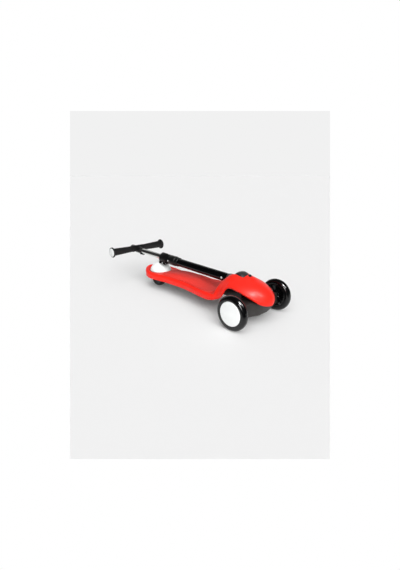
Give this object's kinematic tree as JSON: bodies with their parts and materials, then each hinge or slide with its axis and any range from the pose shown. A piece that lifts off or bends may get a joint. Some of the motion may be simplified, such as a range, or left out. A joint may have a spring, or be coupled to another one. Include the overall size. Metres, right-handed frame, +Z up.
{
  "type": "three-wheel kick scooter",
  "caption": "Folded lean-to-steer kick scooter: moulded deck with a hood over the front truck, hinged telescopic column with clamp lever and T handlebar, and a press-down rear fender brake.",
  "frame": {"origin": "middle of the folded scooter's bounding box, on the floor", "axes": "+X forwards along the deck, +Y to the rider's left, +Z up"},
  "size_m": [0.8054, 0.2866, 0.1718],
  "materials": {
    "red_moulded_plastic": "satin injection moulding",
    "red_textured_pad": "fine anti-slip texture",
    "white_plastic": "smooth satin",
    "black_plastic": "fine moulded texture",
    "gloss_black_paint": "gloss",
    "black_urethane_tyre": "polished cast urethane",
    "chrome_plate": "mirror polish",
    "zinc_plated_steel": "bright zinc",
    "black_rubber": "soft matte"
  },
  "bodies": {
    "deck": {"deck_shell": "red_moulded_plastic", "footboard_pad": "red_textured_pad", "front_bracket": "black_plastic", "bracket_screw_1": "zinc_plated_steel", "bracket_screw_2": "zinc_plated_steel", "hinge_pin": "zinc_plated_steel", "hinge_pin_nut": "zinc_plated_steel", "kingpin": "zinc_plated_steel", "kingpin_nut": "zinc_plated_steel", "steer_bushing_upper": "black_rubber", "steer_bushing_lower": "black_rubber", "rear_carrier": "black_plastic", "carrier_screw_1": "zinc_plated_steel", "carrier_screw_2": "zinc_plated_steel", "rear_axle": "zinc_plated_steel", "rear_axle_nut": "zinc_plated_steel", "brake_pin": "zinc_plated_steel", "brake_spring": "zinc_plated_steel", "release_spring": "zinc_plated_steel"},
    "truck": {"truck_beam": "black_plastic", "axle_bolt_left": "zinc_plated_steel", "axle_bolt_right": "zinc_plated_steel"},
    "front_wheel_left": {"tyre_left": "black_urethane_tyre", "core_left": "black_plastic", "bearing_inner_left": "zinc_plated_steel", "bearing_outer_left": "zinc_plated_steel", "hub_cap_left": "white_plastic"},
    "front_wheel_right": {"tyre_right": "black_urethane_tyre", "core_right": "black_plastic", "bearing_inner_right": "zinc_plated_steel", "bearing_outer_right": "zinc_plated_steel", "hub_cap_right": "white_plastic"},
    "rear_wheel": {"rear_tyre": "black_urethane_tyre", "rear_core": "black_plastic", "rear_bearing_left": "zinc_plated_steel", "rear_bearing_right": "zinc_plated_steel", "rear_spacer": "zinc_plated_steel"},
    "brake": {"brake_fender": "white_plastic", "brake_shoe": "black_rubber"},
    "column": {"knuckle": "black_plastic", "lower_tube": "gloss_black_paint", "knuckle_bolt": "zinc_plated_steel", "guide_bush": "black_plastic", "clamp_collar": "black_plastic", "clamp_skewer": "zinc_plated_steel", "clamp_skewer_nut": "zinc_plated_steel", "collar_screw": "zinc_plated_steel"},
    "quick_release_lever": {"clamp_lever": "black_plastic", "lever_pin": "zinc_plated_steel"},
    "steerer": {"upper_tube": "chrome_plate", "foot_plug": "black_plastic", "t_piece": "black_plastic", "t_screw": "zinc_plated_steel", "t_ring": "black_plastic", "handlebar_tube": "chrome_plate", "grip_left": "black_rubber", "grip_right": "black_rubber", "end_cap_left": "white_plastic", "end_cap_right": "white_plastic"},
    "fold_button": {"release_button": "black_plastic"}
  },
  "joints": [
    {"name": "fold", "type": "hinge", "parent": "deck", "child": "column", "pos_m": [0.27242, 0, 0.1345], "axis": [0, 1, 0], "range_deg": [0, 74]},
    {"name": "steer", "type": "hinge", "parent": "deck", "child": "truck", "pos_m": [0.33842, 0, 0.068], "axis": [0.6428, 0, 0.766], "range_deg": [-10, 10], "stiffness_Nm_per_rad": 20},
    {"name": "roll_front_left", "type": "hinge", "parent": "truck", "child": "front_wheel_left", "pos_m": [0.33842, 0.1267, 0.06], "axis": [0, 1, 0], "continuous": true},
    {"name": "roll_front_right", "type": "hinge", "parent": "truck", "child": "front_wheel_right", "pos_m": [0.33842, -0.1267, 0.06], "axis": [0, 1, 0], "continuous": true},
    {"name": "roll_rear", "type": "hinge", "parent": "deck", "child": "rear_wheel", "pos_m": [-0.20008, 0, 0.04], "axis": [0, 1, 0], "continuous": true},
    {"name": "brake", "type": "hinge", "parent": "deck", "child": "brake", "pos_m": [-0.14408, 0, 0.0715], "axis": [0, -1, 0], "range_deg": [0, 3.8], "stiffness_Nm_per_rad": 2, "springref_deg": -5.73},
    {"name": "height", "type": "slide", "parent": "column", "child": "steerer", "axis": [-0.9994, 0, 0.0351], "range_m": [-0.06, 0.08]},
    {"name": "lever_swing", "type": "hinge", "parent": "column", "child": "quick_release_lever", "pos_m": [-0.14546, -0.0176, 0.11685], "axis": [0.9994, 0, -0.0351], "range_deg": [0, 95]},
    {"name": "unlock_press", "type": "slide", "parent": "deck", "child": "fold_button", "axis": [0, 0, -1], "range_m": [0, 0.004], "stiffness_N_per_m": 400, "springref_m": -0.005, "deforming": ["release_spring"]}
  ]
}
